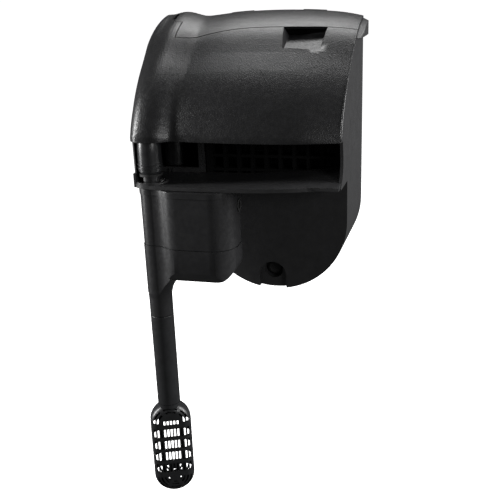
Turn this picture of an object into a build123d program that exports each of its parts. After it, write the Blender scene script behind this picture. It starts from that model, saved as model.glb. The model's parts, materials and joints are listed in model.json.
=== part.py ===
from build123d import *
from math import cos, hypot, radians, sin
import os

os.makedirs("parts", exist_ok=True)

# Hang-on-back aquarium power filter, in mm. +X is to the right as seen from the tank, +Y points
# away from the tank and +Z up. The origin is on the underside of the overhang, where the rim sits.

# ---------- driving dimensions: clearances and walls ----------
WALL = 2.5                    # moulded shell thickness
FIT = 0.4                     # gap between shells that lift or swing apart
SEAM_GAP = 0.7                # visible gap between hood and lid
SLIDE = 0.1                   # radial clearance of push-fit tubes
RUN = 0.05                    # radial clearance of pins and shafts

# ---------- reservoir ----------
FRONT_Y = 8.0                 # tank-side face
BACK_Y = 86.6                 # rear face
BASIN_R = 63.8                # half-round belly
BASIN_Z = -35.5
INTAKE_FLOOR = -30.0          # underside of the shallow chamber beside the belly
INTAKE_CORNER = 12.0
INTAKE_WALL_Z = 8.0           # low wall in front of the intake chamber
WEIR_Z = 3.8                  # water spills over here
RIGHT_X = 84.7                # right-hand wall at Y = 0
RIGHT_FLARE = 0.03            # how much it widens towards the back
LEFT_X = -89.5
LEFT_FLARE = -0.04
PARTITION_X = -42.8           # wall between intake chamber and filter chamber
TRAY_Z = 0.5                  # underside of the spillway tray in front of the rim
LAND_Y = -8.2                 # the land that sits on the rim ends here
LIP_Z = 3.6                   # top of the tray's lip
RAMP = ((0, 3.8, 3.8), (45, 4.8, 7), (83, 6.5, 12.5))   # spillway ramp: x, height in front, height at the weir
COLLAR_Z = 5.2                # raised collar around the riser
COLLAR_R = 13.5
COLLAR_BORE = 11.5
COLLAR_Y = -24.5
GUIDES = (10.7, 25.5, 40.0, 54.5, 58.5, 73.0)     # front of each pair of guide ribs for the media
GUIDE_TOP = 45.0
FLANGE = 4.5                  # how far the rim flange stands out
FLANGE_Z = (110.0, 135.0)
TALL = 150.0                  # above everything

# ---------- hood and lid ----------
HOOD_Z = 38.5                 # lower edge of the hood
HOOD_GAP = 0.5
COVER_BACK = 87.0
LID_LEFT = -67.0
LID_LEFT_REAR = -75.5
LID_STEP_Y = 66.0
SEAM_Z = 117.0
SEAM_LEAN = -0.66             # the seam leans forward going up, square to the surface
HINGE_Y = 89.4
HINGE_Z = 124.3
HINGE_X = (-20.0, 45.0)       # middle of each lid knuckle
KNUCKLE_R = 2.6
KNUCKLE_HALF = 10.0
EAR = (10.5, 14.0)            # reservoir ears, from the middle of a knuckle
PIN_R = 1.2
PIN_HALF = 13.8
SCOOP_X = (29.0, 59.0)        # finger scoop: floor, its slope from front to back, and how its sides splay
SCOOP_Y = (28.0, 55.0)
SCOOP_Z = (103.4, 113.0)
SCOOP_SPLAY = 6.5
SCOOP_RISE = 16.0

# ---------- riser, intake tube and strainer ----------
TUBE_X = -73.0
TUBE_Y = -26.0
TUBE_R = 10.2
TUBE_BORE = 8.2
SPIGOT_R = 7.4
SPIGOT_TOP = 22.0
RISER_BORE = 6.0
SOCKET_END = -115.0           # joint between socket and extension tube
TUBE_END = -203.0             # joint between extension tube and strainer
SPIGOT_LENGTH = 15.0
JOINT_GAP = 0.6
STRAINER_TOP = -204.0
STRAINER_END = -297.0
STRAINER_W = 37.4
STRAINER_D = 20.4
STRAINER_EDGE = 7.5           # rounding of its rim
STRAINER_WALL = 1.8
STRAINER_TURN = 22.0          # how far it is turned about the tube
SLOT_W = 1.8
SLOT_H = 9.3
SLOT_PITCH_X = 3.07
SLOT_PITCH_Z = 12.45
SLOT_COLUMNS = 5              # on each side of the middle one
SLOT_ROWS = 4
RADIAL_BAR = 3.2              # bars that break the slots around the ends
RIB_REACH = 5.0               # half depth of the inner ribs
RISER_JOINT = 11.8            # lower end of the U-tube
U_TUBE_R = 9.9
U_TUBE_WALL = 1.8
BEND_R = 22.0
BEND_Z = 30.0
DROP_Y = 38.0
DROP_END = 4.0

# ---------- motor unit ----------
MOTOR_LEFT = -48.0            # where the flat front gives way to the waist
MOTOR_RIGHT = -1.5
MOTOR_FRONT = -43.5
MOTOR_BACK = -9.0             # the tank rim fits behind it
MOTOR_CORNER = 20.0
MOTOR_TOP = 0.0
MOTOR_SPLIT = -49.5
MOTOR_BOTTOM = -77.6
MOTOR_WALL = 2.4
SPLIT_GROOVE = 0.45
LOWER_GROW = 0.5              # the lower shell is a little fatter than the upper one
FLARE_R = 24.0                # trumpet-shaped root of the tube socket
FLARE_DROP = 21.0
ROTOR_X = -37.5
ROTOR_Y = -26.25
CHAMBER_R = 14.0
CHAMBER_FLOOR = -62.0
EYE_R = 6.5
WELL_R = 9.7
WELL_TOP = -13.5
PLATE = 3.0                   # floor of the upper shell
BUSH_R = 2.2
SHAFT_R = 1.25
IMPELLER_Z = (-60.5, -52.5)
IMPELLER_R = 12.2
VANES = 6
MAGNET_R = 8.0
CORE_Z = (-36.0, -20.0)
CORE_DEPTH = 24.0
CORE_LEG = 6.0
YOKE_X = (-17.5, -12.5)
COIL = 4.6                    # thickness of the winding
GLAND_Y = -17.0
GLAND_Z = -16.0
GLAND_R = 4.8
CORD_BORE = 3.2

# ---------- levelling peg ----------
PEG_X = 20.0
PEG_Z = -83.0
PEG_R = 8.0
PEG_Y = (20.5, 37.5)
PEG_TIP_Y = 17.0
PEG_TIP_R = 6.4
PEG_SLEEVE_END = 40.0
RECESS_R = 11.8               # arched recess in front of the peg
RECESS_DROP = 3.5
RECESS_DEPTH = 5.0

# ---------- filter media ----------
MEDIA_R = BASIN_R - WALL - 2.6
MEDIA_X = 21.3
MEDIA_TOP = 44.0
CARTRIDGES = {"front": (42.2, 54.2), "rear": (60.8, 72.8)}
FRAME_THICK = 3.5
SCRUBBER_Y = (13.0, 25.0)
SCRUBBER_TOP = 36.0
CELL = 9.6
CELL_PITCH = 12.0


# ---------- small helpers ----------
def block(x, y, z):
    """Box from three (low, high) pairs."""
    return Pos((x[0] + x[1]) / 2, (y[0] + y[1]) / 2, (z[0] + z[1]) / 2) * Box(
        x[1] - x[0], y[1] - y[0], z[1] - z[0])


def post(x, y, z, r):
    """Upright cylinder between two heights."""
    return Pos(x, y, (z[0] + z[1]) / 2) * Cylinder(r, z[1] - z[0])


def pipe(x, y, z, r_out, r_in):
    return post(x, y, z, r_out) - post(x, y, (z[0] - 1, z[1] + 1), r_in)


def rod_y(x, z, y, r):
    """Cylinder along Y between two depths."""
    return Pos(x, (y[0] + y[1]) / 2, z) * Rot(90, 0, 0) * Cylinder(r, y[1] - y[0])


def rod_x(y, z, x, r):
    """Cylinder along X between two stations."""
    return Pos((x[0] + x[1]) / 2, y, z) * Rot(0, 90, 0) * Cylinder(r, x[1] - x[0])


def plan(points, z):
    """Prism over a plan outline given as (x, y) corners."""
    face = make_face(Polyline(*[(px, py, z[0]) for px, py in points], close=True))
    return extrude(face, amount=z[1] - z[0], dir=(0, 0, 1))


def side_face(points, x):
    """Face in the plane X = x from (y, z) corners."""
    return make_face(Polyline(*[(x, py, pz) for py, pz in points], close=True))


def side(points, x):
    """Prism over a side outline given as (y, z) corners."""
    return extrude(side_face(points, x[0]), amount=x[1] - x[0], dir=(1, 0, 0))


def save(shape, name):
    solids = shape.solids()
    whole = solids[0] if len(solids) == 1 else Compound(children=list(solids))
    export_step(whole, "parts/" + name + ".step")


# ---------- the crowned cover, shared by hood, lid and the top of the reservoir ----------
# Its right-hand edge from the hood's lower lip to the rear of the lid, as (y, z).
EDGE = [(-23.5, HOOD_Z), (-16.5, 55), (-5, 70.5), (10, 84), (28, 97), (46, 110.5), (66, 120.5), (90, 126.3)]
# How far the cover stands proud of that edge: x, at the lower lip, at the rear.
CROWN = [(94, -3, -2), (84, 0, 0.4), (68, 4, 3.2), (52, 7.6, 4.6), (20, 10, 5.8), (-4, 9.8, 5.5),
         (-27, 8.3, 4.2), (-45, 6.5, 2.3), (-52.5, 6.2, 2.0), (-60.5, 11.3, 3.8), (-68, 14.6, 5.5),
         (-76, 14.8, 5.3), (-84, 11.5, 3.6), (-96, 5, -3)]
CROWN_FADE = 1.5              # how quickly the lower crown gives way to the rear one
COVER_FLOOR = -130.0


def edge_normals():
    normals = []
    last = len(EDGE) - 1
    for i in range(len(EDGE)):
        before = EDGE[max(i - 1, 0)]
        after = EDGE[min(i + 1, last)]
        run, rise = after[0] - before[0], after[1] - before[1]
        size = hypot(run, rise)
        normals.append((-rise / size, run / size))
    return normals


def cover_section(x, low, high, offset, y_back, z_floor):
    """Closed outline at one station across the cover."""
    points = []
    last = len(EDGE) - 1
    for i, ((y, z), (ny, nz)) in enumerate(zip(EDGE, edge_normals())):
        share = (1 - i / last) ** CROWN_FADE
        crown = low * share + high * (1 - share) + offset
        points.append((x, y + ny * crown, z + nz * crown))
    start, end = points[0], points[-1]
    foot = (x, start[1] + 2, z_floor)
    outline = [Spline(*points), Line((x, y_back, end[2]), end), Line((x, y_back, z_floor), (x, y_back, end[2])),
               Line(foot, (x, y_back, z_floor)), Line(start, foot)]
    return make_face(Wire(outline))


def cover_block(offset, y_back=100.0, z_floor=COVER_FLOOR):
    """Everything beneath the cover's surface moved out by offset."""
    return loft([cover_section(x, low, high, offset, y_back, z_floor) for x, low, high in CROWN])


def right_x(y, inset=0.0):
    return RIGHT_X + RIGHT_FLARE * y - inset


def left_x(y, inset=0.0):
    return LEFT_X + LEFT_FLARE * (y - FRONT_Y) + inset


def outline(inset, back, front=-60.0):
    """Plan outline of the covers or, inset, of what stands inside them."""
    left_front, left_back = -87.0 + inset, -93.5 + inset
    return [(right_x(front, inset), front), (right_x(back, inset), back), (left_back, back), (left_back, 40),
            (left_front, -20), (left_front, front)]


# Seam between hood and lid, as (x, y) at SEAM_Z.
SEAM = [(LID_LEFT, 36), (-58, 39.8), (-46.5, 44), (-33, 47.9), (-6, 51.8), (31, 52.6), (56, 54.3),
        (81, 56.5), (96, 57.8)]


def lid_region(gap):
    """Region of the cover that belongs to the lid, grown by gap."""
    left, left_rear, rear = LID_LEFT - gap, LID_LEFT_REAR - gap, COVER_BACK + 20
    seam = [(left, SEAM[0][1] - gap)] + [(x, y - gap) for x, y in SEAM[1:]]
    corners = [seam[-1], (seam[-1][0], rear), (left_rear, rear), (left_rear, LID_STEP_Y - gap),
               (left, LID_STEP_Y - gap), seam[0]]
    curve = Spline(*[(x, y, SEAM_Z) for x, y in seam])
    straights = Polyline(*[(x, y, SEAM_Z) for x, y in corners])
    face = make_face(Wire(list(curve.edges()) + list(straights.edges())))
    lean = Vector(0, SEAM_LEAN, 1)
    return extrude(face, amount=40, dir=lean) + extrude(face, amount=40, dir=-lean)


# ---------- reservoir ----------
def basin_face(y, inset):
    """Front outline of the reservoir at depth y: half-round belly with a shallow chamber on its left."""
    right, left = right_x(y, inset), left_x(y, inset)
    r = BASIN_R - inset
    middle = right - r
    floor = INTAKE_FLOOR + inset
    corner = INTAKE_CORNER - inset
    knee = corner * cos(radians(45))
    belly = ThreePointArc((right, y, BASIN_Z), (middle, y, BASIN_Z - r), (middle - r, y, BASIN_Z))
    step = Polyline((middle - r, y, BASIN_Z), (middle - r, y, floor), (left + corner, y, floor))
    bend = ThreePointArc((left + corner, y, floor), (left + corner - knee, y, floor + corner - knee),
                         (left, y, floor + corner))
    rest = Polyline((left, y, floor + corner), (left, y, TALL), (right, y, TALL), (right, y, BASIN_Z))
    return make_face(Wire([edge for line in (belly, step, bend, rest) for edge in line.edges()]))


def basin(inset):
    return loft([basin_face(FRONT_Y + inset, inset), basin_face(BACK_Y - inset, inset)], ruled=True)


def make_cheeks():
    """The side walls carried forward over the tank rim, down to the tray."""
    blade = [(-22.2, TRAY_Z), (-22.2, 2.1), (-16.5, 6), (-13.3, 11.2), (-11.3, 18), (-11.3, 24), (-12.6, 30),
             (-14.6, HOOD_Z), (-23.3, HOOD_Z), (-23.3, 80), (12, 80), (12, TRAY_Z)]
    right = side(blade, (60, 100))
    right &= plan(outline(0, 90), (0, 140)) - plan(outline(WALL, 91, front=-61), (-1, 141))
    left = block((-86.0, -84.0), (-33.0, -19.9), (TRAY_Z, 100))
    left += plan([(-86, -20), (-84, -20), (-87.5, 12), (-90.0, 12)], (TRAY_Z, 100))
    return right + left


def lip_curve():
    """Plan curve of the tray's lip, from the right cheek round to the left."""
    return Spline((84, -16), (79.5, -20.5), (67.6, -26), (52.8, -31.2), (28, -36.8), (3.7, -39.4), (-24, -40),
                  (-51, -39.6), (-70, -38.2), (-81, -35.5), (-86, -30.5))


def tray_plan(z):
    """Prism over the tray's plan."""
    lip = lip_curve()
    straight = Polyline(lip @ 1, (-86, FRONT_Y + 1), (84, FRONT_Y + 1), lip @ 0)
    face = make_face(Wire(list(lip.edges()) + list(straight.edges())))
    return extrude(Pos(0, 0, z[0]) * face, amount=z[1] - z[0], dir=(0, 0, 1))


def make_tray():
    """Spillway: over the rim and on to the lip, with a ramp that rises to the right."""
    tray = tray_plan((-1, WEIR_Z + 1))
    tray &= side([(10, 0), (10, WEIR_Z), (-8, WEIR_Z), (-28, LIP_Z), (-50, LIP_Z), (-50, TRAY_Z),
                  (LAND_Y - TRAY_Z, TRAY_Z), (LAND_Y, 0)], (-100, 100))
    profiles = [side_face([(-28, LIP_Z), (-8, front), (FRONT_Y + WALL, rear), (FRONT_Y + WALL, 1), (-28, 1)], x)
                for x, front, rear in RAMP]
    tray += loft(profiles, ruled=True)
    tray += pipe(TUBE_X, COLLAR_Y, (TRAY_Z, COLLAR_Z), COLLAR_R, COLLAR_BORE) & tray_plan((TRAY_Z, COLLAR_Z))
    return tray - post(TUBE_X, COLLAR_Y, (-1, COLLAR_Z + 1), COLLAR_BORE)


def make_band():
    """Rim flange around the back and along the right."""
    right = right_x(BACK_Y)
    return plan([(right_x(40), 38), (right_x(60, -FLANGE), 60), (right + FLANGE, BACK_Y), (right, BACK_Y + FLANGE),
                 (-70, BACK_Y + FLANGE), (-74.6, BACK_Y), (-74.6, BACK_Y - 1), (right - 1, BACK_Y - 1),
                 (right_x(40, 1), 38)], FLANGE_Z)


def make_partition():
    """Wall beside the intake chamber, with a transfer window low at the back."""
    wall = block((PARTITION_X, PARTITION_X + WALL), (FRONT_Y + 1, BACK_Y - 1), (-60, 62)) & basin(0.5)
    window = block((PARTITION_X - 4, PARTITION_X + WALL + 2), (66, BACK_Y - WALL - 2), (INTAKE_FLOOR + 6, 40))
    return wall, window


def make_reservoir():
    body = basin(0) - basin(WALL)
    front = (FRONT_Y - 1, FRONT_Y + WALL + 0.01)
    body -= block((PARTITION_X, right_x(FRONT_Y, WALL)), front, (WEIR_Z, TALL))
    body -= block((-120, PARTITION_X + 1), front, (INTAKE_WALL_Z, TALL))
    partition, window = make_partition()
    body += partition
    body -= window
    body += make_cheeks() + make_band()
    # trimmed to the inside of the hood and lid, and on the left to the hood's lower edge
    body -= block((-130, 130), (-80, 130), (12, TALL + 10)) - cover_block(-(WALL + FIT))
    body -= block((-120, -75.0), (-60, 120), (HOOD_Z - HOOD_GAP, TALL))
    body += make_tray()
    for x in (-69.0, -65.5):
        body += block((x - 0.6, x + 0.6), (FRONT_Y - 1.4, FRONT_Y + 0.5), (WEIR_Z - 1, INTAKE_WALL_Z - 1))
    return body


def add_peg_sleeve(body):
    """Arched recess with the sleeve of the levelling peg."""
    arch_z = PEG_Z - RECESS_DROP
    outer = RECESS_R + WALL
    backing = (FRONT_Y + 0.5, FRONT_Y + RECESS_DEPTH + WALL)
    housing = rod_y(PEG_X, arch_z, backing, outer)
    housing += block((PEG_X - outer, PEG_X + outer), backing, (arch_z - 30, arch_z))
    body += housing & basin(0.5)
    body += rod_y(PEG_X, PEG_Z, (FRONT_Y + RECESS_DEPTH + 1, PEG_SLEEVE_END), PEG_R + SLIDE + 2)
    depth = (FRONT_Y - 1, FRONT_Y + RECESS_DEPTH)
    recess = rod_y(PEG_X, arch_z, depth, RECESS_R)
    recess += block((PEG_X - RECESS_R, PEG_X + RECESS_R), depth, (arch_z - 30, arch_z))
    body -= recess
    return body - rod_y(PEG_X, PEG_Z, (FRONT_Y - 1, PEG_SLEEVE_END - 2), PEG_R + SLIDE)


def add_guides(body):
    left, right = PARTITION_X + WALL, right_x(FRONT_Y, WALL)
    for y in GUIDES:
        body += block((left - 0.5, left + 2.5), (y, y + 2), (BASIN_Z, GUIDE_TOP))
        body += block((right - 1.5, right + 2), (y, y + 2), (BASIN_Z, GUIDE_TOP))
    return body


def add_hinge_ears(body):
    """Ears on the back wall, with room in the flange for the lid's knuckles."""
    for x in HINGE_X:
        body -= block((x - EAR[1] - 0.5, x + EAR[1] + 0.5), (BACK_Y - 0.2, BACK_Y + 10),
                      (HINGE_Z - KNUCKLE_R - 1.2, TALL))
        for low in (x - EAR[1], x + EAR[0]):
            high = low + EAR[1] - EAR[0]
            body += rod_x(HINGE_Y, HINGE_Z, (low, high), KNUCKLE_R)
            body += block((low, high), (BACK_Y - 1, HINGE_Y + KNUCKLE_R), (HINGE_Z - 6, HINGE_Z))
        body -= rod_x(HINGE_Y, HINGE_Z, (x - EAR[1] - 1, x + EAR[1] + 1), PIN_R + RUN)
    return body


# ---------- the lift-off hood and the hinged lid ----------
def cover_shell():
    shell = cover_block(0) - cover_block(-WALL, y_back=110, z_floor=COVER_FLOOR - 10)
    return shell & plan(outline(0, COVER_BACK), (HOOD_Z, TALL))


def scoop(grow):
    """Finger scoop: a sloping floor with splayed sides, open at the top."""
    def level(splay, rise):
        x = (SCOOP_X[0] - splay - grow, SCOOP_X[1] + splay + grow)
        y = (SCOOP_Y[0] - grow, SCOOP_Y[1] + grow)
        z = (SCOOP_Z[0] + rise - grow, SCOOP_Z[1] + rise - grow)
        return make_face(Polyline((x[0], y[0], z[0]), (x[1], y[0], z[0]), (x[1], y[1], z[1]), (x[0], y[1], z[1]),
                                  close=True))
    return loft([level(0, 0), level(SCOOP_SPLAY, SCOOP_RISE)], ruled=True)


def make_hood():
    hood = cover_shell() - lid_region(SEAM_GAP)
    # side wall on the left and rear wall beside the lid
    walls = plan(outline(0, COVER_BACK), (HOOD_Z, TALL))
    walls -= plan(outline(WALL, COVER_BACK - WALL), (HOOD_Z - 1, TALL + 1))
    walls &= block((-120, LID_LEFT_REAR - FIT), (-60, 100), (HOOD_Z, TALL))
    hood += walls & cover_block(-1)
    # finger scoop that runs in under the lid's front edge
    hood += (scoop(2) & cover_block(-0.2)) - lid_region(SEAM_GAP)
    hood -= scoop(0)
    # relief slot beside the lid
    return hood - block((-79.2, -75.0), (LID_STEP_Y + 1, 82), (100, TALL))


def lid_knuckle(x):
    """Hinge barrel with the arm that joins it to the rear edge of the lid."""
    width = (x - KNUCKLE_HALF, x + KNUCKLE_HALF)
    arm = block(width, (COVER_BACK - 2, HINGE_Y + KNUCKLE_R), (HINGE_Z, HINGE_Z + 12)) & cover_block(0)
    arm -= block((width[0] - 1, width[1] + 1), (COVER_BACK - 3, HINGE_Y - KNUCKLE_R), (HINGE_Z - 1, TALL))
    web = block(width, (HINGE_Y - KNUCKLE_R, HINGE_Y + KNUCKLE_R), (HINGE_Z, HINGE_Z + 3))
    return rod_x(HINGE_Y, HINGE_Z, width, KNUCKLE_R) + arm + web


def make_lid():
    lid = cover_shell() & lid_region(0)
    for x in HINGE_X:
        lid += lid_knuckle(x)
        lid -= rod_x(HINGE_Y, HINGE_Z, (x - KNUCKLE_HALF - 1, x + KNUCKLE_HALF + 1), PIN_R + RUN)
    return lid


def make_hinge_pins():
    return Compound(children=[rod_x(HINGE_Y, HINGE_Z, (x - PIN_HALF, x + PIN_HALF), PIN_R) for x in HINGE_X])


# ---------- motor unit ----------
def motor_outline(grow=0.0):
    """Plan outline: flat front, round right-hand corner, and a waist towards the riser column."""
    knee = MOTOR_CORNER * (1 - cos(radians(45)))
    back, front, right = MOTOR_BACK, MOTOR_FRONT, MOTOR_RIGHT
    column = TUBE_Y - TUBE_R + 0.3
    inflection = ((MOTOR_LEFT + TUBE_X + 3) / 2, (front + column) / 2)
    lines = [Line((TUBE_X, back), (right - 5, back)),
             ThreePointArc((right - 5, back), (right - 1.5, back - 1.5), (right, back - 5)),
             Line((right, back - 5), (right, front + MOTOR_CORNER)),
             ThreePointArc((right, front + MOTOR_CORNER), (right - knee, front + knee),
                           (right - MOTOR_CORNER, front)),
             Line((right - MOTOR_CORNER, front), (MOTOR_LEFT, front)),
             TangentArc((MOTOR_LEFT, front), inflection, tangent=(-1, 0)),
             TangentArc((TUBE_X + 3, column), inflection, tangent=(1, 0)),
             Line((TUBE_X + 3, column), (TUBE_X, column)),
             Line((TUBE_X, column), (TUBE_X, back))]
    face = make_face(Wire(lines)) + Pos(TUBE_X, TUBE_Y) * Circle(TUBE_R)
    face += Pos(TUBE_X - 2, (TUBE_Y + back) / 2) * Rectangle(4.5, back - TUBE_Y)
    return offset(face, amount=grow) if grow else face


def motor_block(z, grow=0.0):
    face = motor_outline(grow).faces()[0]
    return extrude(Pos(0, 0, z[0]) * face, amount=z[1] - z[0], dir=(0, 0, 1))


def make_motor_housing():
    body = motor_block((MOTOR_SPLIT + 0.5, MOTOR_TOP)) + motor_block((MOTOR_TOP - 5, MOTOR_TOP), 0.6)
    body += motor_block((MOTOR_SPLIT, MOTOR_SPLIT + 0.6), -SPLIT_GROOVE)
    cavity = motor_block((MOTOR_SPLIT + PLATE, MOTOR_TOP - MOTOR_WALL), -MOTOR_WALL)
    body -= cavity & block((ROTOR_X - 17.5, MOTOR_RIGHT), (MOTOR_FRONT, MOTOR_BACK), (MOTOR_SPLIT, MOTOR_TOP))
    body -= post(ROTOR_X, ROTOR_Y, (MOTOR_SPLIT - 1, MOTOR_SPLIT + PLATE + 1), WELL_R + RUN)
    body -= post(ROTOR_X, ROTOR_Y, (MOTOR_SPLIT - 1, MOTOR_SPLIT + 1.6), CHAMBER_R - 0.3)
    body += post(TUBE_X, TUBE_Y, (MOTOR_TOP - 1, SPIGOT_TOP), SPIGOT_R)
    body -= post(TUBE_X, TUBE_Y, (MOTOR_SPLIT - 1, SPIGOT_TOP + 1), RISER_BORE)
    # pads that stop against the underside of the tray
    for low, high in ((-46, -34), (-26, -16)):
        body += block((low, high), (-36, -32), (MOTOR_TOP - 0.5, TRAY_Z))
    return body - rod_x(GLAND_Y, GLAND_Z, (MOTOR_RIGHT - MOTOR_WALL - 1, MOTOR_RIGHT + 1), GLAND_R + RUN)


def lower_shell():
    """Outside of the impeller housing: a little fatter than the upper shell, chamfered in front, round at its
    lower right."""
    body = motor_block((MOTOR_BOTTOM, MOTOR_SPLIT), LOWER_GROW)
    end = MOTOR_RIGHT + LOWER_GROW
    r = 17.0
    trim = block((end - r, end + 5), (-60, 0), (MOTOR_BOTTOM - 1, MOTOR_BOTTOM + r))
    body -= trim - rod_y(end - r, MOTOR_BOTTOM + r, (-61, 1), r)
    front = MOTOR_FRONT - LOWER_GROW
    return body - side([(front - 5, MOTOR_BOTTOM + 8), (front, MOTOR_BOTTOM + 8), (front + 4, MOTOR_BOTTOM),
                        (front + 4, MOTOR_BOTTOM - 2), (front - 5, MOTOR_BOTTOM - 2)], (-64, 20))


def make_socket():
    """Tube socket that flares into the underside of the shell."""
    foot = MOTOR_BOTTOM - FLARE_DROP
    top = MOTOR_BOTTOM + 1
    edge = TUBE_R + FLARE_R - (FLARE_R ** 2 - FLARE_DROP ** 2) ** 0.5
    middle = TUBE_R + FLARE_R - (FLARE_R ** 2 - (FLARE_DROP / 2) ** 2) ** 0.5
    profile = Wire([Line((0, 0, foot), (TUBE_R, 0, foot)),
                    ThreePointArc((TUBE_R, 0, foot), (middle, 0, foot + FLARE_DROP / 2), (edge, 0, MOTOR_BOTTOM)),
                    Line((edge, 0, MOTOR_BOTTOM), (edge, 0, top)),
                    Line((edge, 0, top), (0, 0, top)),
                    Line((0, 0, top), (0, 0, foot))])
    root = Pos(TUBE_X, TUBE_Y, 0) * revolve(make_face(profile), axis=Axis.Z)
    root &= motor_block((foot - 1, top), LOWER_GROW) & block((-130, 30), (-41, 0), (foot - 2, 0))
    return root + post(TUBE_X, TUBE_Y, (SOCKET_END, MOTOR_BOTTOM + 1), TUBE_R)


def make_impeller_housing():
    body = lower_shell() + make_socket()
    # pump chamber, outlet to the riser, and the intake passage beneath
    body -= post(ROTOR_X, ROTOR_Y, (CHAMBER_FLOOR, MOTOR_SPLIT + 1), CHAMBER_R)
    body -= block((TUBE_X, ROTOR_X - 6), (ROTOR_Y - 5, ROTOR_Y + 5), (CHAMBER_FLOOR + 1.5, MOTOR_SPLIT - 1.5))
    body -= post(TUBE_X, TUBE_Y, (CHAMBER_FLOOR + 1.5, MOTOR_SPLIT + 1), RISER_BORE)
    body -= post(ROTOR_X, ROTOR_Y, (CHAMBER_FLOOR - 6, CHAMBER_FLOOR + 1), EYE_R)
    body -= block((TUBE_X, ROTOR_X + 6), (ROTOR_Y - 5.5, ROTOR_Y + 5.5), (MOTOR_BOTTOM + 2.2, CHAMBER_FLOOR - 3))
    body -= post(TUBE_X, TUBE_Y, (SOCKET_END - 1, CHAMBER_FLOOR - 3), TUBE_BORE)
    # spider under the eye holds the lower bush
    web = (CHAMBER_FLOOR - 3, CHAMBER_FLOOR)
    body += block((ROTOR_X - EYE_R - 1, ROTOR_X + EYE_R + 1), (ROTOR_Y - 1, ROTOR_Y + 1), web)
    body += post(ROTOR_X, ROTOR_Y, web, 3.2)
    body -= post(ROTOR_X, ROTOR_Y, (CHAMBER_FLOOR - 2, CHAMBER_FLOOR + 1), BUSH_R + RUN)
    # groove for the housing seal
    return body - pipe(ROTOR_X, ROTOR_Y, (MOTOR_SPLIT - 1.2, MOTOR_SPLIT + 0.5), 16.2, 15.0)


def make_rotor_well():
    foot = MOTOR_SPLIT + 0.1
    well = pipe(ROTOR_X, ROTOR_Y, (foot, WELL_TOP), WELL_R, WELL_R - 1)
    well += post(ROTOR_X, ROTOR_Y, (WELL_TOP - 1, WELL_TOP), WELL_R)
    well += pipe(ROTOR_X, ROTOR_Y, (foot, MOTOR_SPLIT + 1.5), CHAMBER_R - 0.5, WELL_R - 1)
    return well + pipe(ROTOR_X, ROTOR_Y, (WELL_TOP - 4, WELL_TOP - 0.5), BUSH_R + 1.2, BUSH_R + RUN)


def make_seal_ring():
    return pipe(ROTOR_X, ROTOR_Y, (MOTOR_SPLIT - 1.1, MOTOR_SPLIT - 0.05), 16.1, 15.1)


def make_stator_core():
    """Stack of laminations: a yoke through the coil and two poles around the rotor well."""
    y = (ROTOR_Y - CORE_DEPTH / 2, ROTOR_Y + CORE_DEPTH / 2)
    core = block((ROTOR_X - 12.5, YOKE_X[1]), y, CORE_Z)
    core -= block((YOKE_X[0] - 7, YOKE_X[0]), (y[0] + CORE_LEG, y[1] - CORE_LEG), (-60, 0))
    core -= post(ROTOR_X, ROTOR_Y, (-60, 0), WELL_R + 0.3)
    return core - block((ROTOR_X - 20, YOKE_X[0]), (ROTOR_Y - 1, ROTOR_Y + 1), (-60, 0))


def coil_box(grow, y_inset):
    """Box around the yoke inside the coil window."""
    reach = CORE_DEPTH / 2 - CORE_LEG - y_inset
    return block((YOKE_X[0] - grow, YOKE_X[1] + grow), (ROTOR_Y - reach, ROTOR_Y + reach),
                 (CORE_Z[0] - grow, CORE_Z[1] + grow))


def make_coil_bobbin():
    bobbin = coil_box(1.2, 0.1) + (coil_box(COIL + 0.4, 0.1) - coil_box(COIL + 1, 1.1))
    return bobbin - coil_box(0.1, -2)


def make_coil_winding():
    return coil_box(COIL, 1.15) - coil_box(1.25, 0)


def make_cord_gland():
    """Rubber sleeve that seals the cord's entry."""
    face = MOTOR_RIGHT
    body = rod_x(GLAND_Y, GLAND_Z, (face - MOTOR_WALL - 1.5, face + 0.1), GLAND_R)
    body += rod_x(GLAND_Y, GLAND_Z, (face + 0.05, face + 0.9), GLAND_R + 0.8)
    return body - rod_x(GLAND_Y, GLAND_Z, (face - 8, face + 2), CORD_BORE)


# ---------- rotor ----------
def make_impeller():
    low, high = IMPELLER_Z
    hub = post(ROTOR_X, ROTOR_Y, (low, high + 3), 4.5) + post(ROTOR_X, ROTOR_Y, (high - 1.2, high), IMPELLER_R)
    for k in range(VANES):
        vane = block((3.5, IMPELLER_R), (-0.6, 0.6), (low, high - 0.5))
        hub += Pos(ROTOR_X, ROTOR_Y, 0) * Rot(0, 0, 360 / VANES * k) * vane
    return hub - post(ROTOR_X, ROTOR_Y, (-80, 0), SHAFT_R + RUN)


def make_rotor_magnet():
    return pipe(ROTOR_X, ROTOR_Y, (IMPELLER_Z[1] + 3, WELL_TOP - 6), MAGNET_R, SHAFT_R + RUN)


def make_shaft():
    return post(ROTOR_X, ROTOR_Y, (CHAMBER_FLOOR - 1.5, WELL_TOP - 2), SHAFT_R)


def make_bush(z):
    return pipe(ROTOR_X, ROTOR_Y, z, BUSH_R, SHAFT_R + 0.02)


# ---------- water path ----------
def u_path():
    """Centre line of the U-tube, over the front wall from riser to intake chamber."""
    top = BEND_Z + BEND_R
    knee = BEND_R * cos(radians(45))
    start = TUBE_Y + BEND_R
    end = DROP_Y - BEND_R
    return Wire([Line((TUBE_X, TUBE_Y, RISER_JOINT + 2), (TUBE_X, TUBE_Y, BEND_Z)),
                 ThreePointArc((TUBE_X, TUBE_Y, BEND_Z), (TUBE_X, start - knee, BEND_Z + knee), (TUBE_X, start, top)),
                 Line((TUBE_X, start, top), (TUBE_X, end, top)),
                 ThreePointArc((TUBE_X, end, top), (TUBE_X, end + knee, BEND_Z + knee), (TUBE_X, DROP_Y, BEND_Z)),
                 Line((TUBE_X, DROP_Y, BEND_Z), (TUBE_X, DROP_Y, DROP_END))])


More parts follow.
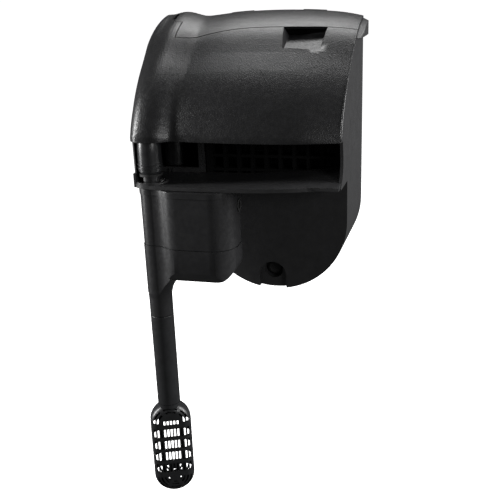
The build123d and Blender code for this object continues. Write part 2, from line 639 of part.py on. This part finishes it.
def make_u_tube():
    start = Plane(origin=(TUBE_X, TUBE_Y, RISER_JOINT + 2), z_dir=(0, 0, 1))
    path = u_path()
    tube = sweep(start * Circle(U_TUBE_R), path=path) - sweep(start * Circle(U_TUBE_R - U_TUBE_WALL), path=path)
    # tapered foot and two gripping rings above it
    foot = Pos(TUBE_X, TUBE_Y, RISER_JOINT + 2) * Cone(U_TUBE_R - 1.1, U_TUBE_R, 4)
    tube += foot
    for z in (16.2, 19.2):
        tube += pipe(TUBE_X, TUBE_Y, (z, z + 1.1), U_TUBE_R + 0.6, 8.6)
    return tube - post(TUBE_X, TUBE_Y, (RISER_JOINT - 1, SPIGOT_TOP + 1), U_TUBE_R - 1.7)


def make_riser_seal():
    grip = pipe(TUBE_X, TUBE_Y, (RISER_JOINT - 1, RISER_JOINT + 7), U_TUBE_R - 1.75, SPIGOT_R + RUN)
    return grip + pipe(TUBE_X, TUBE_Y, (RISER_JOINT - 2, RISER_JOINT - 0.05), U_TUBE_R - 0.2, SPIGOT_R + RUN)


def make_extension_tube():
    tube = post(TUBE_X, TUBE_Y, (TUBE_END, SOCKET_END - JOINT_GAP), TUBE_R)
    tube += post(TUBE_X, TUBE_Y, (SOCKET_END - 1, SOCKET_END + SPIGOT_LENGTH), TUBE_BORE - SLIDE)
    tube += post(TUBE_X, TUBE_Y, (TUBE_END - SPIGOT_LENGTH, TUBE_END + 1), TUBE_BORE - SLIDE)
    return tube - post(TUBE_X, TUBE_Y, (TUBE_END - 20, SOCKET_END + 20), TUBE_BORE - 1.8)


# ---------- strainer, drawn on its own axis and then turned about the tube ----------
STRAINER_HALF = STRAINER_W / 2
ARC_LOW = STRAINER_END + STRAINER_HALF
ARC_HIGH = STRAINER_TOP - STRAINER_HALF


def long_round(half, depth):
    """Upright long-round block around the strainer's axis."""
    y = (-depth / 2, depth / 2)
    body = block((-half, half), y, (ARC_LOW, ARC_HIGH))
    return body + rod_y(0, ARC_LOW, y, half) + rod_y(0, ARC_HIGH, y, half)


def pillow(inset):
    """The long-round block with its rims rounded."""
    depth = STRAINER_D - 2 * inset
    body = long_round(STRAINER_HALF - inset, depth)
    rims = body.faces().filter_by(Axis.Y).edges()
    return fillet(rims, STRAINER_EDGE - inset)


def straight_slots(y):
    """Rows of upright slots between the rounded ends, as cutters at the depth y."""
    middle = (ARC_LOW + ARC_HIGH) / 2
    slots = []
    for row in range(SLOT_ROWS):
        z = middle + (row - (SLOT_ROWS - 1) / 2) * SLOT_PITCH_Z
        for column in range(-SLOT_COLUMNS, SLOT_COLUMNS + 1):
            x = column * SLOT_PITCH_X
            slots.append(block((x - SLOT_W / 2, x + SLOT_W / 2), y, (z - SLOT_H / 2, z + SLOT_H / 2)))
    # a row of short ones just under the collar
    collar_end = STRAINER_TOP - SPIGOT_LENGTH - 0.3
    z = middle + (SLOT_ROWS + 1) / 2 * SLOT_PITCH_Z - SLOT_H / 2
    for column in (-2, -1, 0, 1, 2):
        x = column * SLOT_PITCH_X
        slots.append(block((x - SLOT_W / 2, x + SLOT_W / 2), y, (z, collar_end)))
    return slots


def end_slots(y, centre, turn, rings):
    """Concentric slots around one rounded end, broken by radial bars."""
    over = (y[0] - 1, y[1] + 1)
    slots = []
    for ring in rings:
        r = ring * SLOT_PITCH_X
        band = rod_y(0, 0, y, r + SLOT_W / 2) - rod_y(0, 0, over, r - SLOT_W / 2)
        band &= block((-40, 40), over, (-40, -0.6))
        for angle in (60, 120):
            band -= Rot(0, angle, 0) * block((0, 40), over, (-RADIAL_BAR / 2, RADIAL_BAR / 2))
        slots += (Pos(0, 0, centre) * Rot(0, turn, 0) * band).solids()
    return slots


def make_strainer():
    collar = post(0, 0, (STRAINER_TOP - SPIGOT_LENGTH, STRAINER_TOP + 0.7), TUBE_R)
    cage = pillow(0) + collar - (pillow(STRAINER_WALL) - collar)
    cage -= post(0, 0, (STRAINER_TOP - SPIGOT_LENGTH - 1, STRAINER_TOP + 2), TUBE_BORE)
    # inner ribs from the collar to the bottom
    for x in (-3 * SLOT_PITCH_X, 3 * SLOT_PITCH_X):
        rib = block((x - 1, x + 1), (-RIB_REACH, RIB_REACH), (STRAINER_END + 4, STRAINER_TOP - 8))
        cage += rib & pillow(STRAINER_WALL - 0.3)
    for y in ((-STRAINER_D, -RIB_REACH), (RIB_REACH, STRAINER_D)):
        cage -= straight_slots(y)
        cage -= end_slots(y, ARC_LOW, 0, range(2, SLOT_COLUMNS + 1))
        cage -= end_slots(y, ARC_HIGH, 180, (SLOT_COLUMNS - 1, SLOT_COLUMNS))
    return Pos(TUBE_X, TUBE_Y, 0) * Rot(0, 0, STRAINER_TURN) * cage


# ---------- filter media ----------
def media_slab(y, inset, top):
    """Half-round slab that fills the belly, less an inset."""
    r = MEDIA_R - inset
    return block((MEDIA_X - r, MEDIA_X + r), y, (BASIN_Z, top)) + rod_y(MEDIA_X, BASIN_Z, y, r)


def make_cartridge_frame(y):
    """Plastic frame in the guides: open lattice with two finger loops on top."""
    thick = (y[0], y[0] + FRAME_THICK)
    through = (y[0] - 1, y[0] + FRAME_THICK + 1)
    frame = media_slab(thick, 0, MEDIA_TOP) - media_slab(through, 5, MEDIA_TOP - 5)
    lattice = []
    for k in (-1, 0, 1):
        middle = MEDIA_X + 28 * k
        level = -27 + 28 * k
        lattice.append(block((middle - 1.5, middle + 1.5), thick, (-100, MEDIA_TOP)))
        lattice.append(block((MEDIA_X - 60, MEDIA_X + 60), thick, (level - 1.5, level + 1.5)))
    for bar in lattice:
        frame += bar & media_slab(thick, 2, MEDIA_TOP - 1)
    for x in (MEDIA_X - 34, MEDIA_X + 34):
        loop = block((x - 11, x + 11), thick, (MEDIA_TOP - 1, MEDIA_TOP + 14))
        frame += loop - block((x - 7.5, x + 7.5), through, (MEDIA_TOP, MEDIA_TOP + 10.5))
    return frame


def make_filter_pad(y):
    return media_slab((y[0] + FRAME_THICK + 0.1, y[1]), 3.5, MEDIA_TOP - 4)


def make_bio_scrubber():
    """Grid that the water crosses last. It stops short of the levelling peg's sleeve."""
    y = SCRUBBER_Y
    grid = media_slab(y, 0.5, SCRUBBER_TOP) - block((-60, 120), (0, 60), (-110, PEG_Z + PEG_R + 4))
    half = CELL / 2
    for row in range(-9, 7):
        for column in range(-5, 6):
            x = MEDIA_X + CELL_PITCH * column
            z = BASIN_Z - 0.5 + CELL_PITCH * row
            reach = hypot(abs(x - MEDIA_X) + half, max(BASIN_Z - z + half, 0))
            if reach < MEDIA_R - 2.5 and z + half < SCRUBBER_TOP - 2:
                grid -= block((x - half, x + half), (y[0] - 1, y[1] + 1), (z - half, z + half))
    return grid


# ---------- levelling peg ----------
def make_leveling_peg():
    peg = rod_y(PEG_X, PEG_Z, PEG_Y, PEG_R)
    return peg - rod_y(PEG_X, PEG_Z, (PEG_Y[0] + 6, PEG_Y[1] + 1), PEG_R - 2)


def make_peg_tip():
    """Domed rubber foot that rests on the glass."""
    tip = rod_y(PEG_X, PEG_Z, (PEG_TIP_Y, PEG_Y[0]), PEG_TIP_R)
    rim = tip.faces().sort_by(Axis.Y)[0].edges()
    return fillet(rim, 2.0)


def main():
    save(add_hinge_ears(add_guides(add_peg_sleeve(make_reservoir()))), "reservoir")
    save(make_hood(), "front_hood")
    save(make_lid(), "lid")
    save(make_hinge_pins(), "hinge_pins")
    save(make_motor_housing(), "motor_housing")
    save(make_impeller_housing(), "impeller_housing")
    save(make_rotor_well(), "rotor_well")
    save(make_seal_ring(), "housing_seal")
    save(make_stator_core(), "stator_core")
    save(make_coil_bobbin(), "coil_bobbin")
    save(make_coil_winding(), "coil_winding")
    save(make_cord_gland(), "cord_gland")
    save(make_impeller(), "impeller")
    save(make_rotor_magnet(), "rotor_magnet")
    save(make_shaft(), "impeller_shaft")
    save(make_bush((WELL_TOP - 3.8, WELL_TOP - 1.1)), "upper_bush")
    save(make_bush((CHAMBER_FLOOR - 1.9, CHAMBER_FLOOR + 0.4)), "lower_bush")
    save(make_u_tube(), "u_tube")
    save(make_riser_seal(), "riser_seal")
    save(make_extension_tube(), "extension_tube")
    save(make_strainer(), "strainer")
    for place, y in CARTRIDGES.items():
        save(make_cartridge_frame(y), "cartridge_frame_" + place)
        save(make_filter_pad(y), "filter_pad_" + place)
    save(make_bio_scrubber(), "bio_scrubber")
    save(make_leveling_peg(), "leveling_peg")
    save(make_peg_tip(), "peg_tip")


main()
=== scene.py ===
"""Looks of the hang-on-back aquarium filter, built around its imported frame. Lengths in metres, +Z up."""
import json
import math

import bmesh
import bpy
from mathutils import Matrix, Vector, noise


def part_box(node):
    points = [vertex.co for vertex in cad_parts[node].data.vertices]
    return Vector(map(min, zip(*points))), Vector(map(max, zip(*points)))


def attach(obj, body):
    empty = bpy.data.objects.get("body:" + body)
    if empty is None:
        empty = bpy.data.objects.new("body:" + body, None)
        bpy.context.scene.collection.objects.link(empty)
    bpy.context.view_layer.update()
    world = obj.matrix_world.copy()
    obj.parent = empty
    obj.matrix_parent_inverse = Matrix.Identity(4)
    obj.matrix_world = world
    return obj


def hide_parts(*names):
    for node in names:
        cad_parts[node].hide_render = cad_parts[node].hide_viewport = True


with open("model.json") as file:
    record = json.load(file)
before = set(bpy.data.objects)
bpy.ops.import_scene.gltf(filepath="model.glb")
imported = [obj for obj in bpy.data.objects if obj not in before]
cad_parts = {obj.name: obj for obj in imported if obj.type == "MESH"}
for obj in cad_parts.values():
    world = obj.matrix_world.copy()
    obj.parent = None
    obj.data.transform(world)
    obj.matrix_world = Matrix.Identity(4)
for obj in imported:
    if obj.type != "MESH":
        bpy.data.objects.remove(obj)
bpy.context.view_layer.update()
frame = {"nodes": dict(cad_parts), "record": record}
NODES = frame["nodes"]
BODY_OF = {node: body for body, group in frame["record"]["behaviour"]["bodies"].items() for node in group}
SLOT_OF = {part["node"]: part["material_slot"] for part in frame["record"]["subparts"]}

MM = 0.001


# ---------- procedural materials ----------
class Shader:
    """A Principled material whose colour, roughness and bump all come from procedural textures."""

    def __init__(self, name):
        self.material = bpy.data.materials.new(name)
        self.material.use_nodes = True
        self.tree = self.material.node_tree
        self.bsdf = self.tree.nodes["Principled BSDF"]
        self.coords = self.tree.nodes.new("ShaderNodeTexCoord")
        self.normal = None

    def link(self, a, b):
        self.tree.links.new(a, b)

    def noise(self, size, detail=2.0, rough=0.5, distortion=0.0, stretch=None):
        """Noise whose features are about size long; stretch lengthens them along an axis."""
        node = self.tree.nodes.new("ShaderNodeTexNoise")
        node.inputs["Scale"].default_value = 1 / size
        node.inputs["Detail"].default_value = detail
        node.inputs["Roughness"].default_value = rough
        node.inputs["Distortion"].default_value = distortion
        self.link(self.place(stretch), node.inputs["Vector"])
        return node.outputs["Fac"]

    def cells(self, size):
        """Rounded cells of about that size, as in spark-eroded moulds."""
        node = self.tree.nodes.new("ShaderNodeTexVoronoi")
        node.feature = "SMOOTH_F1"
        node.inputs["Scale"].default_value = 1 / size
        node.inputs["Randomness"].default_value = 1.0
        self.link(self.coords.outputs["Object"], node.inputs["Vector"])
        return node.outputs["Distance"]

    def bands(self, size, axis="Z", distortion=0.0):
        """Parallel ridges, one every size."""
        node = self.tree.nodes.new("ShaderNodeTexWave")
        node.wave_type = "BANDS"
        node.bands_direction = axis
        node.inputs["Scale"].default_value = math.pi / (10 * size)
        node.inputs["Distortion"].default_value = distortion
        self.link(self.coords.outputs["Object"], node.inputs["Vector"])
        return node.outputs["Fac"]

    def place(self, stretch):
        if stretch is None:
            return self.coords.outputs["Object"]
        mapping = self.tree.nodes.new("ShaderNodeMapping")
        mapping.inputs["Scale"].default_value = stretch
        self.link(self.coords.outputs["Object"], mapping.inputs["Vector"])
        return mapping.outputs["Vector"]

    def colour(self, source, stops):
        """Base colour from a ramp of (position, grey or rgb)."""
        ramp = self.tree.nodes.new("ShaderNodeValToRGB")
        elements = ramp.color_ramp.elements
        while len(elements) < len(stops):
            elements.new(0.5)
        for element, (position, value) in zip(elements, stops):
            element.position = position
            rgb = value if isinstance(value, tuple) else (value, value, value)
            element.color = (*rgb, 1.0)
        self.link(source, ramp.inputs["Fac"])
        self.link(ramp.outputs["Color"], self.bsdf.inputs["Base Color"])

    def roughness(self, source, low, high):
        spread = self.tree.nodes.new("ShaderNodeMapRange")
        spread.inputs["From Min"].default_value = 0.3
        spread.inputs["From Max"].default_value = 0.7
        spread.inputs["To Min"].default_value = low
        spread.inputs["To Max"].default_value = high
        self.link(source, spread.inputs["Value"])
        self.link(spread.outputs["Result"], self.bsdf.inputs["Roughness"])

    def bump(self, source, depth, strength=1.0):
        node = self.tree.nodes.new("ShaderNodeBump")
        node.inputs["Distance"].default_value = depth
        node.inputs["Strength"].default_value = strength
        self.link(source, node.inputs["Height"])
        if self.normal is not None:
            self.link(self.normal, node.inputs["Normal"])
        self.normal = node.outputs["Normal"]
        self.link(self.normal, self.bsdf.inputs["Normal"])

    def set(self, **values):
        for key, value in values.items():
            socket = "IOR" if key == "ior" else key.replace("_", " ").title()
            self.bsdf.inputs[socket].default_value = value
        return self.material


def tone(base, low, high):
    """Two shades of one colour."""
    return tuple(c * low for c in base), tuple(c * high for c in base)


def moulded(name, base, rough, grain, depth, mottle=0.18, ior=1.5):
    """Moulded plastic: tone that drifts slowly, fine spark-eroded grain, uneven gloss."""
    s = Shader(name)
    dark, light = tone(base, 1 - mottle, 1 + mottle)
    s.colour(s.noise(9 * MM, detail=6, rough=0.62), [(0.3, dark), (0.7, light)])
    s.roughness(s.noise(3 * MM, detail=4), rough - 0.05, rough + 0.06)
    s.bump(s.cells(grain), depth)
    s.bump(s.noise(grain * 0.6, detail=3, rough=0.6), depth * 0.5)
    s.bump(s.noise(30 * MM, detail=1), 0.10 * MM)
    return s.set(ior=ior)


def rubber(name, base):
    s = Shader(name)
    dark, light = tone(base, 0.75, 1.3)
    s.colour(s.noise(4 * MM, detail=5), [(0.3, dark), (0.7, light)])
    s.roughness(s.noise(1.5 * MM, detail=3), 0.62, 0.78)
    s.bump(s.noise(0.5 * MM, detail=3), 0.04 * MM)
    return s.set(ior=1.5)


def floss(name, base):
    """Bonded polyester floss: tangled fibres over soft lumps."""
    s = Shader(name)
    fibres = s.noise(1.2 * MM, detail=8, rough=0.75, distortion=2.5, stretch=(1.0, 1.0, 0.3))
    dark, light = tone(base, 0.55, 1.6)
    s.colour(fibres, [(0.32, dark), (0.68, light)])
    s.roughness(fibres, 0.85, 0.98)
    s.bump(s.noise(6 * MM, detail=3), 0.6 * MM)
    s.bump(fibres, 0.35 * MM)
    return s.set(sheen_weight=0.4)


def metal(name, base, rough, size, axis, depth):
    """Metal with fine parallel lines: laminations, wire turns or turning marks."""
    s = Shader(name)
    dark, light = tone(base, 0.7, 1.15)
    lines = s.bands(size, axis, distortion=0.4)
    s.colour(lines, [(0.1, dark), (0.8, light)])
    s.roughness(s.noise(2 * MM, detail=4), rough - 0.06, rough + 0.08)
    s.bump(lines, depth)
    return s.set(metallic=1.0)


def ceramic(name, base, rough, speckle):
    s = Shader(name)
    dark, light = tone(base, 1 - speckle, 1.0)
    s.colour(s.noise(0.8 * MM, detail=6, rough=0.7), [(0.35, dark), (0.65, light)])
    s.roughness(s.noise(1.2 * MM, detail=3), rough - 0.04, rough + 0.08)
    s.bump(s.noise(0.4 * MM, detail=3), 0.01 * MM)
    return s.set(ior=1.6)


MATERIALS = {
    "shell_black": moulded("hood_plastic", (0.0120, 0.0120, 0.0127), 0.34, 0.95 * MM, 0.12 * MM),
    "body_grey": moulded("reservoir_plastic", (0.026, 0.026, 0.027), 0.40, 0.9 * MM, 0.06 * MM),
    "motor_black": moulded("motor_plastic", (0.0175, 0.0175, 0.0185), 0.36, 0.8 * MM, 0.035 * MM),
    "tube_black": moulded("tube_plastic", (0.0165, 0.017, 0.018), 0.34, 0.8 * MM, 0.03 * MM),
    # painted shade: the cartridge frame and the scrubber grid are coloured darker than their plastic, almost black,
    # to paint the shade inside the filter's opening; their IOR is lowered so they reflect little
    "media_frame": moulded("cartridge_plastic_painted_shade", (0.006, 0.006, 0.0065), 0.60, 0.8 * MM, 0.03 * MM, ior=1.3),
    "scrubber_grid": moulded("grid_plastic_painted_shade", (0.003, 0.003, 0.0033), 0.70, 0.8 * MM, 0.04 * MM, ior=1.25),
    "impeller_white": moulded("impeller_plastic", (0.55, 0.56, 0.57), 0.42, 0.7 * MM, 0.02 * MM, mottle=0.05),
    "bobbin_nylon": moulded("nylon", (0.45, 0.43, 0.38), 0.5, 0.7 * MM, 0.02 * MM, mottle=0.07),
    "rubber_black": rubber("soft_rubber", (0.009, 0.009, 0.009)),
    # painted shade: the floss is coloured darker than its fibres, standing in for the shade inside the filter's
    # opening
    "filter_floss": floss("polyester_floss_painted_shade", (0.05, 0.055, 0.06)),
    "magnet_dark": ceramic("ferrite", (0.05, 0.05, 0.055), 0.45, 0.35),
    "ceramic_shaft": ceramic("polished_ceramic", (0.85, 0.85, 0.82), 0.16, 0.06),
    "core_steel": metal("laminations", (0.30, 0.30, 0.31), 0.42, 0.5 * MM, "Z", 0.05 * MM),
    "copper_coil": metal("enamelled_wire", (0.55, 0.25, 0.12), 0.35, 0.35 * MM, "Y", 0.08 * MM),
    "pin_steel": metal("stainless_pin", (0.55, 0.55, 0.56), 0.28, 0.3 * MM, "X", 0.004 * MM),
}


def dress(obj, slot):
    obj.data.materials.clear()
    obj.data.materials.append(MATERIALS[slot])


def add_object(name, data):
    obj = bpy.data.objects.new(name, data)
    bpy.context.scene.collection.objects.link(obj)
    return obj


def mesh_object(name, bm):
    """Closes a bmesh into a smooth-shaded object."""
    bmesh.ops.recalc_face_normals(bm, faces=bm.faces)
    for face in bm.faces:
        face.smooth = True
    mesh = bpy.data.meshes.new(name)
    bm.to_mesh(mesh)
    bm.free()
    return add_object(name, mesh)


# ---------- bevelled mouldings over the CAD nodes ----------
SHARP = math.radians(30)
FLAT = math.radians(0.5)      # faces closer than this to one plane are merged
WELD = 2e-6
BEVEL_SEGMENTS = 2
SHADING_WEIGHT = 80


def clean_copy(node, name):
    """A welded copy of a CAD node's mesh as a new object, flat areas merged."""
    mesh = NODES[node].data.copy()
    mesh.name = name
    bm = bmesh.new()
    bm.from_mesh(mesh)
    bmesh.ops.remove_doubles(bm, verts=bm.verts, dist=WELD)
    bmesh.ops.dissolve_limit(bm, angle_limit=FLAT, verts=bm.verts, edges=bm.edges)
    bmesh.ops.recalc_face_normals(bm, faces=bm.faces)
    for face in bm.faces:
        face.smooth = True
    for edge in bm.edges:
        edge.smooth = edge.calc_face_angle(0) < SHARP
    bm.to_mesh(mesh)
    bm.free()
    if "custom_normal" in mesh.attributes:
        mesh.attributes.remove(mesh.attributes["custom_normal"])
    return add_object(name, mesh)


def moulding(node, name, radius):
    """The node's shape with every sharp edge rounded, as moulded parts have it."""
    piece = clean_copy(node, name)
    bevel = piece.modifiers.new("rounding", "BEVEL")
    bevel.width = radius
    bevel.segments = BEVEL_SEGMENTS
    bevel.limit_method = "ANGLE"
    bevel.angle_limit = SHARP
    bevel.harden_normals = False
    shade = piece.modifiers.new("shading", "WEIGHTED_NORMAL")
    shade.keep_sharp = False
    shade.weight = SHADING_WEIGHT
    finish_piece(piece, node)


def finish_piece(piece, node):
    dress(piece, SLOT_OF[node])
    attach(piece, BODY_OF[node])
    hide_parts(node)


MOULDINGS = [
    ("front_hood", "hood_moulding", 0.8 * MM),
    ("lid", "lid_moulding", 0.5 * MM),
    ("reservoir", "reservoir_moulding", 0.45 * MM),
    ("motor_housing", "motor_upper_moulding", 0.45 * MM),
    ("impeller_housing", "motor_lower_moulding", 0.6 * MM),
    ("u_tube", "u_tube_moulding", 0.3 * MM),
    ("extension_tube", "extension_moulding", 0.4 * MM),
    ("strainer", "strainer_moulding", 0.25 * MM),
    ("bio_scrubber", "scrubber_moulding", 0.3 * MM),
    ("cartridge_frame_front", "cartridge_moulding_front", 0.4 * MM),
    ("cartridge_frame_rear", "cartridge_moulding_rear", 0.4 * MM),
    ("leveling_peg", "peg_moulding", 0.3 * MM),
    ("peg_tip", "peg_foot", 0.2 * MM),
    ("cord_gland", "gland_moulding", 0.3 * MM),
    ("impeller", "impeller_moulding", 0.15 * MM),
]
for node, name, radius in MOULDINGS:
    moulding(node, name, radius)
for node, obj in NODES.items():
    if not obj.hide_render:
        dress(obj, SLOT_OF[node])


# ---------- bead along the hood's right-hand edge ----------
BEAD_PATH = [(83.8, -23.0, 39.6), (84.0, -16.5, 55.0), (84.35, -5.0, 70.5), (84.8, 10.0, 84.0), (85.3, 28.0, 97.0),
             (85.8, 44.0, 109.2)]
BEAD_R = 0.85 * MM
BEAD_STEPS = 10
BEAD_SIDES = 10
BEAD_TIP = 0.4                # share of the radius at the ends
BEAD_SWELL = 0.3              # share gained with each ring from there


def smooth_path(points, steps):
    """Catmull-Rom curve through the points."""
    points = [2 * points[0] - points[1], *points, 2 * points[-1] - points[-2]]
    path = []
    for a, b, c, d in zip(points, points[1:], points[2:], points[3:]):
        for k in range(steps):
            t = k / steps
            path.append(0.5 * (2 * b + (c - a) * t + (2 * a - 5 * b + 4 * c - d) * t ** 2
                               + (3 * b - a - 3 * c + d) * t ** 3))
    return [*path, points[-2]]


def make_bead(node, name):
    path = smooth_path([Vector(point) * MM for point in BEAD_PATH], BEAD_STEPS)
    bm = bmesh.new()
    rings = []
    for k, spot in enumerate(path):
        along = (path[min(k + 1, len(path) - 1)] - path[max(k - 1, 0)]).normalized()
        side = along.cross(Vector((1, 0, 0))).normalized()
        up = side.cross(along)
        # the ends taper into the hood's surface
        radius = BEAD_R * min(1.0, BEAD_TIP + BEAD_SWELL * min(k, len(path) - 1 - k))
        angles = [2 * math.pi * i / BEAD_SIDES for i in range(BEAD_SIDES)]
        rings.append([bm.verts.new(spot + radius * (math.cos(a) * side + math.sin(a) * up)) for a in angles])
    for low, high in zip(rings, rings[1:]):
        for i in range(BEAD_SIDES):
            j = (i + 1) % BEAD_SIDES
            bm.faces.new((low[i], low[j], high[j], high[i]))
    bm.faces.new(rings[0])
    bm.faces.new(rings[-1][::-1])
    piece = mesh_object(name, bm)
    dress(piece, SLOT_OF[node])
    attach(piece, BODY_OF[node])


make_bead("front_hood", "hood_edge_bead")


# ---------- filter pads: stuffed floss bags ----------
PAD_AROUND = 180
PAD_RINGS = 26
PAD_SEAM = 0.12               # half thickness near the seam, as a share of the bag's
PAD_BELLY = 0.80              # what the filling adds to it
PAD_FLATTEN = 0.16            # how flat the welded seam itself is pressed
LUMP = 0.10
LUMP_SCALE = 45               # lumps per metre of noise space
PLEAT = 0.12
PLEATS = 46


def pad_outline(low, high, share):
    """Point of the bag's half-round outline, counted clockwise from its top left corner."""
    half = (high.x - low.x) / 2
    middle = Vector(((low.x + high.x) / 2, 0, low.z + half))
    side = high.z - middle.z
    lengths = [2 * half, side, math.pi * half, side]
    walk = share * sum(lengths)
    if walk < lengths[0]:
        return Vector((low.x + walk, 0, high.z)), middle
    walk -= lengths[0]
    if walk < lengths[1]:
        return Vector((high.x, 0, high.z - walk)), middle
    walk -= lengths[1]
    if walk < lengths[2]:
        angle = walk / half
        return middle + Vector((math.cos(angle) * half, 0, -math.sin(angle) * half)), middle
    walk -= lengths[2]
    return Vector((low.x, 0, middle.z + walk)), middle


def pad_point(low, high, share, ring, sign):
    """Point on the bag's front or back: thick in the middle, thin at its welded seam."""
    edge, middle = pad_outline(low, high, share)
    reach = ring / PAD_RINGS
    spot = middle.lerp(edge, reach)
    belly = math.sqrt(max(0.0, 1 - reach ** 5))
    lump = noise.noise(Vector((spot.x, sign * 0.02, spot.z)) * LUMP_SCALE) * LUMP
    pleat = PLEAT * math.sin(share * 2 * math.pi * PLEATS) * reach ** 6 * (1 - reach ** 14)
    half = (high.y - low.y) / 2
    depth = half * min(1.0, PAD_SEAM + PAD_BELLY * belly + (lump + pleat) * belly)
    spot.y = (low.y + high.y) / 2 + sign * depth * (PAD_FLATTEN if ring == PAD_RINGS else 1.0)
    return spot


def make_pad(node, name):
    low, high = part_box(node)
    bm = bmesh.new()
    for sign in (-1, 1):
        rows = []
        for ring in range(1, PAD_RINGS + 1):
            rows.append([bm.verts.new(pad_point(low, high, k / PAD_AROUND, ring, sign)) for k in range(PAD_AROUND)])
        centre = bm.verts.new(pad_point(low, high, 0, 0, sign))
        for k in range(PAD_AROUND):
            following = (k + 1) % PAD_AROUND
            fan = (centre, rows[0][k], rows[0][following])
            bm.faces.new(fan if sign < 0 else fan[::-1])
            for a, b in zip(rows, rows[1:]):
                quad = (a[k], b[k], b[following], a[following])
                bm.faces.new(quad if sign < 0 else quad[::-1])
        if sign < 0:
            front_rim = rows[-1]
    for k in range(PAD_AROUND):
        following = (k + 1) % PAD_AROUND
        bm.faces.new((front_rim[k], rows[-1][k], rows[-1][following], front_rim[following]))
    piece = mesh_object(name, bm)
    finish_piece(piece, node)


make_pad("filter_pad_front", "floss_bag_front")
make_pad("filter_pad_rear", "floss_bag_rear")


# ---------- stage, light and camera ----------
FLOOR_Z = -0.40
FLOOR_SIZE = 60.0
VIEW_TARGET = Vector((0.0, 0.008, -0.0648))
VIEW_DISTANCE = 0.700
VIEW_AZIMUTH = math.radians(15.0)
VIEW_ELEVATION = math.radians(20.0)
VIEW_ROLL = math.radians(-2.16)
LENS_MM = 57.6
CLIP_END = 100.0
WORLD_STRENGTH = 0.07
# name, place, target, size, watts
LIGHTS = [
    ("top", (-0.05, 0.60, 1.00), (0.0, 0.0, 0.05), (0.8, 0.35), 6.5),
    ("front_right", (1.00, -0.85, 0.35), (0.03, 0.0, 0.05), (0.4, 0.5), 5.0),
    ("side", (1.20, 0.20, 0.45), (0.08, 0.05, 0.0), (0.5, 0.9), 26.0),
    ("left_strip", (-1.10, -0.25, 0.25), (-0.08, 0.0, 0.03), (0.14, 0.9), 22.0),
]


def make_floor():
    mesh = bpy.data.meshes.new("floor")
    half = FLOOR_SIZE / 2
    corners = [(-half, -half, FLOOR_Z), (half, -half, FLOOR_Z), (half, half, FLOOR_Z), (-half, half, FLOOR_Z)]
    mesh.from_pydata(corners, [], [(0, 1, 2, 3)])
    floor = add_object("floor", mesh)
    s = Shader("floor_paper")
    s.colour(s.noise(400 * MM, detail=2), [(0.3, 0.90), (0.7, 0.92)])
    s.roughness(s.noise(200 * MM), 0.85, 0.95)
    s.set(emission_color=(1, 1, 1, 1), emission_strength=1.0)
    floor.data.materials.append(s.material)
    # the paper shows pure white and throws no light back at the object
    floor.visible_diffuse = False
    floor.visible_glossy = False


def make_light(name, place, target, size, power):
    light = add_object(name, bpy.data.lights.new(name, "AREA"))
    light.data.shape = "RECTANGLE"
    light.data.size, light.data.size_y = size
    light.data.energy = power
    light.location = place
    light.rotation_euler = (Vector(place) - Vector(target)).to_track_quat("Z", "Y").to_euler()


def make_world(strength):
    world = bpy.data.worlds.new("studio")
    bpy.context.scene.world = world
    world.use_nodes = True
    background = world.node_tree.nodes["Background"]
    background.inputs["Color"].default_value = (1, 1, 1, 1)
    background.inputs["Strength"].default_value = strength


def make_camera():
    back = Vector((math.sin(VIEW_AZIMUTH) * math.cos(VIEW_ELEVATION),
                   -math.cos(VIEW_AZIMUTH) * math.cos(VIEW_ELEVATION), math.sin(VIEW_ELEVATION)))
    camera = add_object("camera", bpy.data.cameras.new("camera"))
    camera.data.lens = LENS_MM
    camera.data.clip_end = CLIP_END
    camera.location = VIEW_TARGET + back * VIEW_DISTANCE
    turn = back.to_track_quat("Z", "Y").to_matrix() @ Matrix.Rotation(VIEW_ROLL, 3, "Z")
    camera.rotation_euler = turn.to_euler()
    bpy.context.scene.camera = camera


make_floor()
make_world(WORLD_STRENGTH)
for light in LIGHTS:
    make_light(*light)
make_camera()
bpy.context.scene.view_settings.view_transform = "Standard"
bpy.context.scene.view_settings.look = "None"
